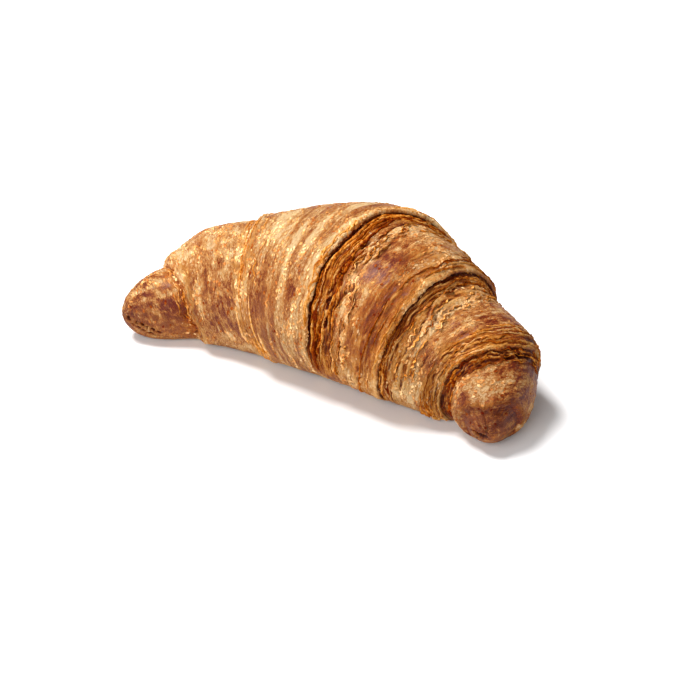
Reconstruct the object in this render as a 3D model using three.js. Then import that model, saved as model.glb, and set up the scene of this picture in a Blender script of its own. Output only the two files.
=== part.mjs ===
// A filled croissant, baked in one piece: a crescent of rolled, laminated dough that stands on a flat underside.
// Frame: millimetres, +X along the crescent from the left horn to the right one, +Y towards its outer, bulging
// side, +Z up, with the origin under the middle of the bounding box, on the surface that the croissant rests on.
import * as THREE from "three";

// ---- The crescent ----
// Eleven stations at equal steps along the roll, from the left horn's end to the right horn's end. Each gives the
// inner and the outer edge of the plan, [x, y], and the height of the crown there, in millimetres.
const STATIONS = [
  { name: "left horn end", inner: [-75, -28.5], outer: [-87, -17], crown: 25 },
  { name: "left horn", inner: [-57, -21.5], outer: [-76, 1], crown: 27 },
  { name: "left shoulder", inner: [-45, -21.5], outer: [-61, 19], crown: 39 },
  { name: "left flank", inner: [-31, -25], outer: [-36, 28], crown: 46 },
  { name: "left of middle", inner: [-17, -29], outer: [-18, 35], crown: 51 },
  { name: "middle", inner: [-2, -32], outer: [-1, 38], crown: 55 },
  { name: "right of middle", inner: [14, -35], outer: [19, 37], crown: 56 },
  { name: "right flank", inner: [29, -37], outer: [37, 28], crown: 52 },
  { name: "right shoulder", inner: [41, -35], outer: [57, 11], crown: 43 },
  { name: "right horn", inner: [50, -33], outer: [78, -10], crown: 37 },
  { name: "right horn end", inner: [59, -44], outer: [79, -40], crown: 24 },
];
const LEFT_CAP = 0.09; // share of the roll that rounds off the left horn
const RIGHT_CAP = 0.08; // the same for the right horn
const WIDEST_AT = 0.44; // height of the widest point, as a share of the crown's height
const SIDE_POWER = 0.92; // under 1 makes the sides a little fuller than an ellipse
const SINK = 1.22; // how far the round underside would reach below its widest point: the tray flattens the rest

// ---- The wraps ----
// Each wrap of the rolled dough ends in an edge that runs round the roll. An edge is given by its share of the
// roll's length at seven places round it, from the underside past the inner side, the crown and the outer side
// back to the underside. step is the dough's thickness, positive where the surface steps up towards +X, and the
// step fades out below free, the turn from the underside where the edge comes free of the wrap under it.
const ROUND = [0, 0.17, 0.3, 0.5, 0.7, 0.85, 1];
const EDGES = [
  { name: "left horn", step: 3.6, free: 0.07, at: [0.15, 0.16, 0.125, 0.112, 0.105, 0.12, 0.15] },
  { name: "left of outer wrap", step: 2.2, free: 0.1, at: [0.33, 0.345, 0.3, 0.28, 0.285, 0.3, 0.33] },
  { name: "right of outer wrap", step: -4.0, free: 0.19, at: [0.52, 0.5, 0.49, 0.53, 0.67, 0.66, 0.52] },
  { name: "right flank", step: -3.0, free: 0.1, at: [0.69, 0.67, 0.69, 0.745, 0.775, 0.76, 0.69] },
  { name: "right horn", step: -2.6, free: 0.07, at: [0.86, 0.87, 0.9, 0.92, 0.895, 0.87, 0.86] },
  { name: "right horn end", step: -1.6, free: 0.07, at: [0.962, 0.964, 0.974, 0.987, 0.97, 0.96, 0.962] },
];
const BULGE = 1.2; // power of each wrap's rise towards its edge
const FADE_TURN = 0.08; // the turn over which a step grows to its full height

// ---- The mesh ----
const ROWS_PER_WRAP = 8;
const STEP_WIDTH = 0.07; // share of a wrap that its edge's step face takes
const COLUMNS = 40;

const clamp = (x, low, high) => Math.min(high, Math.max(low, x));

/** A smooth curve through values at rising places: cubic, each slope taken from the two neighbours. */
function smoothThrough(places, values, x, closed = false) {
  const last = places.length - 1;
  const i = clamp(places.findIndex((place) => place > x) - 1, 0, last - 1);
  const inSpan = x >= places[last] ? last - 1 : i;
  const slope = (k) => {
    if (closed && (k === 0 || k === last)) {
      return (values[1] - values[last - 1]) / (places[1] - places[0] + places[last] - places[last - 1]);
    }
    const before = Math.max(k - 1, 0);
    const after = Math.min(k + 1, last);
    return (values[after] - values[before]) / (places[after] - places[before]);
  };
  const width = places[inSpan + 1] - places[inSpan];
  const t = clamp((x - places[inSpan]) / width, 0, 1);
  const rest = 1 - t;
  return (
    values[inSpan] * rest * rest * (1 + 2 * t) +
    slope(inSpan) * width * t * rest * rest +
    values[inSpan + 1] * t * t * (3 - 2 * t) -
    slope(inSpan + 1) * width * t * t * rest
  );
}

const STATION_SHARES = STATIONS.map((_, index) => index / (STATIONS.length - 1));

/** The inner edge, outer edge and crown height at a share of the roll's length. */
function stationAt(share) {
  const through = (pick) => smoothThrough(STATION_SHARES, STATIONS.map(pick), share);
  return {
    inner: new THREE.Vector2(through((s) => s.inner[0]), through((s) => s.inner[1])),
    outer: new THREE.Vector2(through((s) => s.outer[0]), through((s) => s.outer[1])),
    crown: through((s) => s.crown),
  };
}

/** How far the section has opened, from 0 at a horn's very end to 1 past its rounded cap. */
function opening(share) {
  const left = clamp(1 - share / LEFT_CAP, 0, 1);
  const right = clamp(1 - (1 - share) / RIGHT_CAP, 0, 1);
  return Math.sqrt(1 - left * left) * Math.sqrt(1 - right * right);
}

/** A point of the smooth crescent. turn is 0 on the underside, 1/4 on the inner side and 1/2 on the crown. */
function crescentPoint(share, turn) {
  const { inner, outer, crown } = stationAt(share);
  const open = opening(share);
  const sine = Math.sin(2 * Math.PI * turn);
  const cosine = Math.cos(2 * Math.PI * turn);
  const side = 0.5 * open * Math.sign(sine) * Math.abs(sine) ** SIDE_POWER;
  const waist = WIDEST_AT * crown;
  const rise = cosine < 0 ? -(crown - waist) * cosine : -SINK * waist * cosine;
  return new THREE.Vector3(
    (inner.x + outer.x) / 2 + side * (inner.x - outer.x),
    (inner.y + outer.y) / 2 + side * (inner.y - outer.y),
    waist + open * rise,
  );
}

/** The share of the roll's length at a place within a wrap: wrap 0 is the left horn's, and within runs 0 to 1. */
function shareAt(wrap, within, turn) {
  const edgeShare = (edge) => smoothThrough(ROUND, edge.at, turn, true);
  const from = wrap === 0 ? 0 : edgeShare(EDGES[wrap - 1]);
  const to = wrap === EDGES.length ? 1 : edgeShare(EDGES[wrap]);
  return from + (to - from) * within;
}

/** An edge's step at a turn: its full height on the crown, and none where the edge is still closed. */
function stepAt(edge, turn) {
  if (!edge) return 0;
  const rise = clamp((Math.min(turn, 1 - turn) - edge.free) / FADE_TURN, 0, 1);
  return edge.step * rise * rise * (3 - 2 * rise);
}

/** How far a wrap stands out of the smooth crescent. It is highest next to the edge that lies on the wrap below. */
function wrapHeight(wrap, within, turn) {
  const left = stepAt(EDGES[wrap - 1], turn) * (1 - within) ** BULGE;
  const right = stepAt(EDGES[wrap], turn) * within ** BULGE;
  return (left - right) / 2;
}

/** The direction that faces out of the smooth crescent. */
function outward(share, turn) {
  const reach = 0.01;
  const low = clamp(share, reach, 1 - reach);
  const along = crescentPoint(low + reach, turn).sub(crescentPoint(low - reach, turn));
  const round = crescentPoint(low, turn + reach).sub(crescentPoint(low, turn - reach));
  return along.cross(round).normalize();
}

/** A point of the croissant's surface, flattened where it would lie below the tray. */
function surfacePoint(wrap, within, turn) {
  const share = shareAt(wrap, within, turn);
  const point = crescentPoint(share, turn);
  point.addScaledVector(outward(share, turn), wrapHeight(wrap, within, turn));
  point.z = Math.max(point.z, 0);
  return point;
}

/** The closed skin: rings of points from horn to horn, with one point at each horn's end. */
function croissantGeometry() {
  const rows = [];
  for (let wrap = 0; wrap <= EDGES.length; wrap += 1) {
    for (let row = 0; row <= ROWS_PER_WRAP; row += 1) {
      const isPole = (wrap === 0 && row === 0) || (wrap === EDGES.length && row === ROWS_PER_WRAP);
      if (isPole) continue;
      // Rows crowd towards the horns' ends, where the skin turns over quickly.
      const even = row / ROWS_PER_WRAP;
      const crowded = wrap === 0 ? even * even : wrap === EDGES.length ? 1 - (1 - even) ** 2 : even;
      const within = wrap === 0 ? crowded : STEP_WIDTH + (1 - STEP_WIDTH) * crowded;
      rows.push([wrap, within]);
    }
  }
  const points = [];
  for (const [wrap, within] of rows) {
    for (let column = 0; column < COLUMNS; column += 1) {
      points.push(surfacePoint(wrap, within, column / COLUMNS));
    }
  }
  const leftEnd = points.push(surfacePoint(0, 0, 0)) - 1;
  const rightEnd = points.push(surfacePoint(EDGES.length, 1, 0)) - 1;

  const faces = [];
  for (let column = 0; column < COLUMNS; column += 1) {
    const next = (column + 1) % COLUMNS;
    for (let row = 0; row + 1 < rows.length; row += 1) {
      const a = row * COLUMNS;
      const b = a + COLUMNS;
      faces.push(a + column, b + column, b + next, a + column, b + next, a + next);
    }
    const lastRow = (rows.length - 1) * COLUMNS;
    faces.push(leftEnd, column, next);
    faces.push(rightEnd, lastRow + next, lastRow + column);
  }
  const geometry = new THREE.BufferGeometry().setFromPoints(points);
  geometry.setIndex(faces);
  centreOnSurface(geometry);
  geometry.computeVertexNormals();
  return geometry;
}

/** Puts the origin under the middle of the bounding box, on the surface that the croissant rests on. */
function centreOnSurface(geometry) {
  geometry.computeBoundingBox();
  const box = geometry.boundingBox;
  const middle = box.getCenter(new THREE.Vector3());
  geometry.translate(-middle.x, -middle.y, -box.min.z);
}

const bakedDough = new THREE.MeshStandardMaterial({ color: 0xb87840, roughness: 0.55, metalness: 0 });

const croissant = new THREE.Mesh(croissantGeometry(), bakedDough);
croissant.name = "croissant";

const part = new THREE.Group();
part.add(croissant);

export default part;
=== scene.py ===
"""The looks of a filled croissant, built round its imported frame: one roll of laminated dough, baked in one
piece, with the torn leaves and the loose flakes of its layers."""

import bpy
import numpy as np
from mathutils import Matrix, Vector


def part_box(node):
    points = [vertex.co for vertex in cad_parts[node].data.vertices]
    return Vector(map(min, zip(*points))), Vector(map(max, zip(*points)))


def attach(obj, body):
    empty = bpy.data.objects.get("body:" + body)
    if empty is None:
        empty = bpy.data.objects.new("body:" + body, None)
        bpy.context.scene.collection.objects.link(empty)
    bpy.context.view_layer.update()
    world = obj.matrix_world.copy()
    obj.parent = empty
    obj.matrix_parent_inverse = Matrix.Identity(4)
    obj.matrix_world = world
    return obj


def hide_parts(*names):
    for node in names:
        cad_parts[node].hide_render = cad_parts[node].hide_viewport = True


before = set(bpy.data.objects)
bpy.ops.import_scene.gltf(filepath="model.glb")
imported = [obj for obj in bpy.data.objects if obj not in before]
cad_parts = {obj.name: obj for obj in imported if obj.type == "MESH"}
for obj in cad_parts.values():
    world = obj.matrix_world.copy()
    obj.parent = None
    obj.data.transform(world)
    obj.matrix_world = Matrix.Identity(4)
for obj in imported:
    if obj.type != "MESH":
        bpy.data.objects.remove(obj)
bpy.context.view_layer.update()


# ---- The roll ----
# A triangle of laminated dough, rolled up from its wide end and bent to a crescent. Each wrap ends in an edge
# that lies on the wrap under it, and the tray flattens the underside. It is baked in one piece.
MM = 0.001
# Eleven stations at equal steps along the roll, from the left horn's end to the right horn's end: x and y of
# the inner edge of the plan, x and y of the outer edge, and the crown's height, in millimetres.
STATIONS = np.array([
    [-75, -28.5, -87, -17, 25],
    [-57, -21.5, -76, 1, 27],
    [-45, -21.5, -61, 19, 39],
    [-31, -25, -36, 28, 46],
    [-17, -29, -18, 35, 51],
    [-2, -32, -1, 38, 55],
    [14, -35, 19, 37, 56],
    [29, -37, 37, 28, 52],
    [41, -35, 57, 11, 43],
    [50, -33, 78, -10, 37],
    [59, -44, 79, -40, 24],
], float)
LEFT_CAP = 0.09  # share of the roll that rounds off the left horn
RIGHT_CAP = 0.08  # the same for the right horn
WIDEST_AT = 0.44  # height of the widest point, as a share of the crown's height
SIDE_POWER = 0.92  # under 1 makes the sides a little fuller than an ellipse
SINK = 1.22  # how far the round underside would reach below its widest point: the tray flattens the rest
TRAY_ROUND = 1.6  # mm, how softly the belly turns into the flat underside
# A turn is a place round the roll: 0 and 1 are the underside, 1/4 the inner side and 1/2 the crown. An edge
# is given by its share of the roll's length at the seven turns of ROUND. Each list after EDGE_SHARES has one
# value for each of the six edges, from left to right.
ROUND = np.array([0, 0.17, 0.3, 0.5, 0.7, 0.85, 1])
EDGE_SHARES = np.array([
    [0.15, 0.16, 0.125, 0.112, 0.105, 0.12, 0.15],
    [0.33, 0.345, 0.3, 0.28, 0.285, 0.3, 0.33],
    [0.52, 0.5, 0.49, 0.53, 0.67, 0.66, 0.52],
    [0.69, 0.67, 0.69, 0.745, 0.775, 0.76, 0.69],
    [0.86, 0.87, 0.9, 0.92, 0.895, 0.87, 0.86],
    [0.962, 0.964, 0.974, 0.987, 0.97, 0.96, 0.962],
])
STEPS = [3.6, 2.2, -4.0, -3.0, -2.6, -1.6]  # mm, a layer's thickness: over 0, the next wrap is higher
FREE_FROM = [0.07, 0.1, 0.19, 0.1, 0.07, 0.07]  # the turn from the underside where the edge comes free
RAGGED = [0.7, 0.6, 1.0, 0.6, 0.6, 0.6]  # mm that the edge strays
FUSED = [1.0, 0.75, 0.0, 0.1, 0.2, 0.65]  # 0 is a clean cut, and 1 a soft rise, fused with the wrap below
LIP = [0.0, 0.1, 0.45, 0.6, 0.5, 0.0]  # mm that the lip of a full step stands over
GROOVE = [0.0, 0.1, 0.6, 0.6, 0.5, 0.3]  # mm, the groove's depth under that lip
LEDGES = [0, 0, 5, 3, 3, 0]  # ledges of layers that show under the lip
LEDGE_PITCH = [0, 0, 2.3, 1.35, 1.2, 0]  # mm
LEDGE_SHARE = [0, 0, 0.35, 0.55, 0.6, 0]  # of the step, which the ledges take up
FULL_STEP = 2.6  # mm, the step for which the lips and the grooves are given
MOST_STRENGTH = 1.25  # of them, at higher steps
FADE_TURN = 0.08  # the turn over which an edge's step grows to its full height
BULGE = 1.2  # power of each wrap's rise towards its edge
LAST_WRAP = len(STEPS)
ROW_PITCH = [0.7, 0.6, 0.6, 0.44, 0.44, 0.44, 0.6]  # mm between the rows of points on each wrap's crown
COLUMNS = 214  # points round the roll
UNDERSIDE_DENSITY = 0.3  # of the columns, up to the turn HIDDEN_TURN from the underside
HIDDEN_TURN = 0.06
DENSE_OVER = 0.09  # the turn over which they then close up to their full density
ROUND_MM = 175.0  # the way round the roll at its thickest
# The section of an edge, from the high side to the low one: where its points lie beside the edge in mm, how
# far they reach over the low side, the share of the step that they have come down, and the groove's depth.
EDGE_SECTION = np.array([
    [-2.4, 0, 0, 0],
    [-1.9, 0, 0, 0.05],
    [-1.4, 0.05, 0, 0.12],
    [-1, 0.2, 0, 0.16],
    [-0.7, 0.45, 0, 0.13],
    [-0.45, 0.75, 0.03, 0.05],
    [-0.25, 0.95, 0.1, 0],
    [-0.1, 0.95, 0.2, 0],
    [0, 0.75, 0.33, 0],
    [0.1, 0.35, 0.48, -0.05],
    [0.2, -0.05, 0.64, -0.15],
    [0.3, -0.35, 0.8, -0.35],
    [0.42, -0.5, 0.94, -0.65],
    [0.58, -0.35, 1, -0.9],
    [0.8, -0.1, 1, -1],
    [1.05, 0, 1, -0.85],
    [1.35, 0, 1, -0.55],
    [1.7, 0, 1, -0.25],
    [2.05, 0, 1, -0.08],
    [2.4, 0, 1, 0],
])
EDGE_ZONE = 2.4  # mm, where the section ends on either side


def smooth_step(x):
    """0 below 0, 1 above 1, and a smooth rise between."""
    x = np.clip(x, 0, 1)
    return x * x * (3 - 2 * x)


def smooth_through(places, values, x, closed=False):
    """A smooth curve through values at rising places: cubic, each slope taken from the two neighbours."""
    last = len(places) - 1
    after = np.minimum(np.arange(last + 1) + 1, last)
    before = np.maximum(np.arange(last + 1) - 1, 0)
    slopes = ((values[after] - values[before]).T / (places[after] - places[before])).T
    if closed:
        slopes[0] = (values[1] - values[-2]) / (places[1] - places[0] + places[-1] - places[-2])
        slopes[-1] = slopes[0]
    span = np.clip(np.searchsorted(places, x, side="right") - 1, 0, last - 1)
    width = places[span + 1] - places[span]
    t = np.clip((x - places[span]) / width, 0, 1)
    if values.ndim > 1:
        width = width[..., None]
        t = t[..., None]
    rest = 1 - t
    near = values[span] * (1 + 2 * t) + slopes[span] * width * t
    far = values[span + 1] * (3 - 2 * t) - slopes[span + 1] * width * rest
    return near * rest * rest + far * t * t


def crescent(share, turn):
    """A point of the smooth crescent, in mm, before the wraps and the tray."""
    station = smooth_through(np.linspace(0, 1, len(STATIONS)), STATIONS, share)
    inner = station[..., 0:2]
    outer = station[..., 2:4]
    crown = station[..., 4]
    left = np.clip(1 - share / LEFT_CAP, 0, 1)
    right = np.clip(1 - (1 - share) / RIGHT_CAP, 0, 1)
    opening = np.sqrt(1 - left * left) * np.sqrt(1 - right * right)
    sine = np.sin(2 * np.pi * turn)
    cosine = np.cos(2 * np.pi * turn)
    side = 0.5 * opening * np.sign(sine) * np.abs(sine) ** SIDE_POWER
    waist = WIDEST_AT * crown
    rise = np.where(cosine < 0, -(crown - waist) * cosine, -SINK * waist * cosine)
    plan = (inner + outer) / 2 + side[..., None] * (inner - outer)
    return np.concatenate([plan, (waist + opening * rise)[..., None]], -1)


def outward(share, turn):
    """The direction that faces out of the smooth crescent."""
    reach = 0.01
    clear = np.clip(share, reach, 1 - reach)
    along = crescent(clear + reach, turn) - crescent(clear - reach, turn)
    around = crescent(clear, turn + reach) - crescent(clear, turn - reach)
    normal = np.cross(along, around)
    return normal / np.linalg.norm(normal, axis=-1, keepdims=True)


def dough_noise(lane, around, across, along, seed, octaves=1):
    """Smooth noise of about -1 to 1. lane and around are mm along and round the roll, and its features are
    `across` mm wide along the roll and `along` mm long round it. It closes round the roll."""
    total = np.zeros(np.broadcast(lane, around).shape)
    for octave in range(octaves):
        cells = max(3, round(ROUND_MM / along)) * 2 ** octave
        x = lane / across * 2 ** octave + 17.0  # so that no cell lies under 0
        y = (around / ROUND_MM * cells) % cells
        cell_x = np.floor(x).astype(int)
        cell_y = np.floor(y).astype(int)
        x = x - cell_x
        y = y - cell_y
        draw = np.random.default_rng(seed * 31 + octave)
        angles = draw.uniform(0, 2 * np.pi, (cell_x.max() + 2, cells))
        fade_x = x ** 3 * (6 * x ** 2 - 15 * x + 10)
        fade_y = y ** 3 * (6 * y ** 2 - 15 * y + 10)
        corner = {}
        for dx in (0, 1):
            for dy in (0, 1):
                angle = angles[cell_x + dx, (cell_y + dy) % cells]
                corner[dx, dy] = np.cos(angle) * (x - dx) + np.sin(angle) * (y - dy)
        low = corner[0, 0] * (1 - fade_x) + corner[1, 0] * fade_x
        high = corner[0, 1] * (1 - fade_x) + corner[1, 1] * fade_x
        total += (low * (1 - fade_y) + high * fade_y) * 1.5 / 1.8 ** octave
    return total


# Columns round the roll, crowded where they show.
fine_turn = np.linspace(0, 1, 2001)
from_underside = np.minimum(fine_turn, 1 - fine_turn)
closing_up = smooth_step((from_underside - HIDDEN_TURN) / DENSE_OVER)
density = UNDERSIDE_DENSITY + (1 - UNDERSIDE_DENSITY) * closing_up
filled = np.concatenate([[0], np.cumsum((density[1:] + density[:-1]) / 2)])
turn = np.interp(np.arange(COLUMNS) / COLUMNS, filled / filled[-1], fine_turn)
around = turn * ROUND_MM

# Lengths along the roll at each column, so that the rows and the layers are laid out in real millimetres.
table_share = (1 - np.cos(np.pi * np.linspace(0, 1, 901))) / 2
table_points = crescent(table_share[:, None] + 0 * turn, turn + 0 * table_share[:, None])
table_steps = np.linalg.norm(np.diff(table_points, axis=0), axis=-1)
table_length = np.concatenate([np.zeros((1, COLUMNS)), np.cumsum(table_steps, axis=0)])

# Where each edge lies at each column, in mm from the left horn's end, and its step there. The first and the
# last of them are the horns' ends.
edge_length = [np.zeros(COLUMNS)]
edge_step = [np.zeros(COLUMNS)]
for edge, step in enumerate(STEPS):
    rise = smooth_step((np.minimum(turn, 1 - turn) - FREE_FROM[edge]) / FADE_TURN)
    wander = dough_noise(np.full(COLUMNS, 9.0), around, 10, 11, 40 + edge, 4)
    edge_share = smooth_through(ROUND, EDGE_SHARES[edge], turn, closed=True)
    even_edge = [np.interp(edge_share[c], table_share, table_length[:, c]) for c in range(COLUMNS)]
    edge_length.append(np.array(even_edge) + RAGGED[edge] * wander * rise)
    edge_step.append(step * rise)
edge_length = np.array(edge_length + [table_length[-1]])
edge_step = np.array(edge_step + [np.zeros(COLUMNS)])

# Rows from horn to horn. Each knows its wrap, its place in mm at every column with and without the lip's
# reach, how far it has gone over from one wrap's height to the next one's, and its groove.
crown_column = np.argmin(np.abs(turn - 0.5))
rows = []
for wrap in range(LAST_WRAP + 1):
    start = edge_length[wrap] + (EDGE_ZONE if wrap > 0 else 0)
    end = edge_length[wrap + 1] - (EDGE_ZONE if wrap < LAST_WRAP else 0)
    count = round((end - start)[crown_column] / ROW_PITCH[wrap])
    for index in range(1, count):
        at = start + (end - start) * index / count
        rows.append((wrap, at, at, wrap, np.zeros(COLUMNS)))
    if wrap == LAST_WRAP:
        break
    edge_at = edge_length[wrap + 1]
    strength = np.clip(np.abs(edge_step[wrap + 1]) / FULL_STEP, 0, MOST_STRENGTH)
    falls = STEPS[wrap] < 0
    sign = 1 if falls else -1
    for off, reach, come_down, deep in EDGE_SECTION[::sign]:
        come_down += (smooth_step(0.5 + off / (2 * EDGE_ZONE)) - come_down) * FUSED[wrap]
        owner = wrap if (come_down < 0.5) == falls else wrap + 1
        gone_over = wrap + (come_down if falls else 1 - come_down)
        at = edge_at + sign * (off + reach * LIP[wrap] * strength)
        rows.append((owner, at, edge_at + sign * off, gone_over, deep * GROOVE[wrap] * strength))
row_wrap, place, base_place, row_mix, grooves = (np.array(kind) for kind in zip(*rows))


def within_wrap(wrap, at):
    """Where a place lies in a wrap: 0 at its left edge, 1 at its right one."""
    return np.clip((at - edge_length[wrap]) / (edge_length[wrap + 1] - edge_length[wrap]), 0, 1)


def wrap_height(wrap, at):
    """How far a wrap stands out of the smooth crescent, in mm."""
    within = within_wrap(wrap, at)
    return (edge_step[wrap] * (1 - within) ** BULGE - edge_step[wrap + 1] * within ** BULGE) / 2


lower_wrap = np.floor(row_mix + 1e-9).astype(int)
upper_wrap = np.minimum(lower_wrap + 1, LAST_WRAP)
share_of_upper = (row_mix - lower_wrap)[:, None]
height = wrap_height(lower_wrap, base_place) * (1 - share_of_upper)
height += wrap_height(upper_wrap, base_place) * share_of_upper
height += grooves
# A lane is a place in mm along the roll that keeps to its wrap: the patterns are laid along it.
mean_length = edge_length.mean(axis=1)
within = within_wrap(row_wrap, base_place)
lane = mean_length[row_wrap][:, None] + within * np.diff(mean_length)[row_wrap][:, None]
share = np.array([np.interp(place[:, c], table_length[:, c], table_share) for c in range(COLUMNS)]).T
turns = turn + 0 * share
smooth_points = crescent(share, turns)
facing_out = outward(share, turns)

NOWHERE = -9.0
SOFT_TURN = 0.06


def beside(edge, side):
    """Millimetres from an edge over the wrap on one side of it, and NOWHERE on every other wrap. Edge 0 is
    the left horn's end, edges 1 to 6 are the wraps' own, and edge 7 is the right horn's end."""
    if side == "left":
        return np.where(row_wrap[:, None] == edge - 1, edge_length[edge] - base_place, NOWHERE)
    return np.where(row_wrap[:, None] == edge, base_place - edge_length[edge], NOWHERE)


def part_of_round(first, last):
    """1 between two turns and 0 outside them, with a soft change over SOFT_TURN."""
    return smooth_step((turn - first) / SOFT_TURN + 0.5) * smooth_step((last - turn) / SOFT_TURN + 0.5)


def noise(across, along, seed, octaves=1):
    """The dough's noise at every point of the roll."""
    return dough_noise(lane, around, across, along, seed, octaves)


OPEN = (0.15, 0.85)  # the turns between which the edges have opened
open_side = part_of_round(*OPEN)

# Beside each edge the cut ends of the layers show as thin ridges, more where the dough has torn open. Each
# band: its edge and side, its width, the layers' pitch and relief in mm, and the turns that it lies between.
BANDS = [
    (1, "left", 6, 1.35, 0.16, OPEN),
    (1, "right", 5, 1.3, 0.16, OPEN),
    (2, "left", 6, 1.5, 0.22, OPEN),
    (2, "right", 4, 1.5, 0.14, OPEN),
    (3, "left", 3, 1.3, 0.1, OPEN),
    (3, "right", 13, 1.45, 0.34, (0.18, 0.85)),
    (4, "left", 15, 1.9, 0.18, OPEN),
    (4, "right", 14, 1.5, 0.22, (0.13, 0.85)),
    (5, "left", 9, 1.2, 0.3, (0.13, 0.85)),
    (5, "right", 7, 1.5, 0.32, OPEN),
    (6, "left", 3, 1.3, 0.16, OPEN),
]
layers = np.zeros_like(height)  # 1 where the ends of the layers show
ridges = np.zeros_like(height)
for number, (edge, side, width, pitch, relief, between) in enumerate(BANDS):
    seed = 100 + 10 * number
    distance = beside(edge, side)
    wander = 1.3 * noise(9, 30, seed, 3) + 0.3 * noise(2.2, 4, seed + 1, 2)
    ends_at = width * (1 + 0.35 * noise(60, 16, seed + 2, 2))
    shown = smooth_step(distance / 0.6) * smooth_step((ends_at - distance) / (0.45 * width))
    shown = shown * part_of_round(*between)
    ridge = 1 - 2 * np.abs(np.cos(np.pi * ((distance + pitch * wander) / pitch))) ** 3
    strong = np.clip(0.6 + 1.0 * noise(2.0, 12, seed + 3, 3), 0.0, 1.6)
    ridges += relief * strong * shown * ridge
    layers = np.maximum(layers, shown * min(1.0, relief / 0.4))

# The ledges of layers under the deep edges' lips take up part of the step.
for number, ledges in enumerate(LEDGES):
    if ledges == 0:
        continue
    distance = beside(number + 1, "right")
    wander = noise(12, 26, 200 + number, 3) * 0.9
    wander += noise(3, 5, 210 + number, 2) * 0.25
    phase = distance / LEDGE_PITCH[number] + wander * smooth_step(distance / 2)
    tread = phase - np.floor(phase)
    down = np.clip((np.floor(phase) + smooth_step((tread - 0.75) / 0.25)) / ledges, 0, 1)
    drop = LEDGE_SHARE[number] * np.abs(edge_step[number + 1])
    ridges += np.where(distance > NOWHERE, drop * (1 - down), 0)

# Sheets that tore and curled to the right of the two deep edges: saw teeth that step up away from the edge.
# Each row: the edge, from and to in mm beside it, and the teeth's pitch and relief in mm.
TEARS = [
    (3, 5.5, 20, 5.2, 1.1),
    (4, 3, 17, 3.4, 0.55),
]
for number, (edge, nearest, furthest, pitch, relief) in enumerate(TEARS):
    seed = 300 + 10 * number
    distance = beside(edge, "right")
    wander = 0.9 * noise(26, 30, seed, 2) + 0.22 * noise(5, 4.5, seed + 1, 2)
    phase = (distance + pitch * wander) / pitch
    tooth = phase - np.floor(phase)
    saw = smooth_step(tooth / 0.12) * (1 - smooth_step((tooth - 0.12) / 0.88)) - 0.4
    shown = smooth_step((distance - nearest) / 2.5) * smooth_step((furthest - distance) / 6.0)
    strong = open_side * np.clip(0.8 + 0.7 * noise(7, 18, seed + 2), 0.2, 1.4)
    ridges += relief * strong * shown * saw


def oval_distance(at_share, at_turn, half_width, half_height, lean=0.0, stray=0.0):
    """How far every point lies from a place on the crescent: 1 on the rim of an oval that has the given half
    sizes in mm and leans by some degrees. stray, in mm, makes its rim uneven."""
    at = (np.array(at_share), np.array(at_turn))
    away = smooth_points - crescent(*at)
    faces = outward(*at)
    level = np.cross([0, 0, 1], faces)
    level /= np.linalg.norm(level)
    level = np.cos(np.radians(lean)) * level + np.sin(np.radians(lean)) * np.cross(faces, level)
    up = (away @ np.cross(faces, level) + stray) / half_height
    return np.sqrt((away @ level / half_width) ** 2 + up ** 2 + (away @ faces / half_width) ** 2)


# Places where the crust is unlike the rest of its wrap: the share and turn of the middle, the half width and
# half height in mm, how much darker it baked, and how far it stands out in mm.
SPOTS = [
    (0.995, 0.34, 19, 9, 0.4, 0),  # under the crease of the right horn
    (0.97, 0.645, 9, 13, 0.3, 0),  # the far side of the right horn
    (0.925, 0.63, 9, 16, 0.3, 0),
    (0.955, 0.12, 11, 9, 0, -0.9),  # the right horn narrows to its tip
    (0.05, 0.3, 20, 8, 0.12, 0),  # the left horn's front, in the oven's heat
    (0.09, 0.345, 8, 4, 0.3, 0),
    (0.131, 0.33, 3.5, 16, -0.1, 0),  # the left horn's neck
    (0.19, 0.3, 9, 12, 0.12, 0),
    (0.085, 0.25, 7, 9, 0.35, 0),
    (0.42, 0.43, 16, 9, -0.3, 0),  # the wide outer wrap's crown
    (0.55, 0.205, 10, 7, -0.3, 0),  # the belly
    (0.7, 0.2, 17, 7, -0.25, 0),
    (0.63, 0.44, 12, 7, 0.3, 0),  # between the two deep edges
    (0.645, 0.38, 7, 9, 0.25, 0),
    (0.68, 0.49, 9, 7, 0.2, 0),
    (0.69, 0.385, 5, 14, 0.35, 0),
    (0.635, 0.31, 7, 12, 0.35, 0),
    (0.535, 0.35, 5, 16, 0.15, -1),  # the groove beside the outer wrap
    (0.76, 0.44, 9, 8, -0.1, 0.3),  # pale and flaky past the second deep edge
    (0.815, 0.375, 6, 8, -0.15, 0),
    (0.8, 0.25, 9, 9, -0.12, 0),
    (0.845, 0.56, 8, 10, 0.3, 0),
]
tone = np.zeros_like(height)
spot_out = np.zeros_like(height)
for number, (at_share, at_turn, half_width, half_height, darker, out) in enumerate(SPOTS):
    far = oval_distance(at_share, at_turn, half_width, half_height)
    tone += darker * (1 - smooth_step((far - 0.55) / 0.8 + 0.35 * noise(6, 8, 420 + number, 3)))
    spot_out += out * (1 - smooth_step((far - 0.2) / 1.1))

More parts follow.
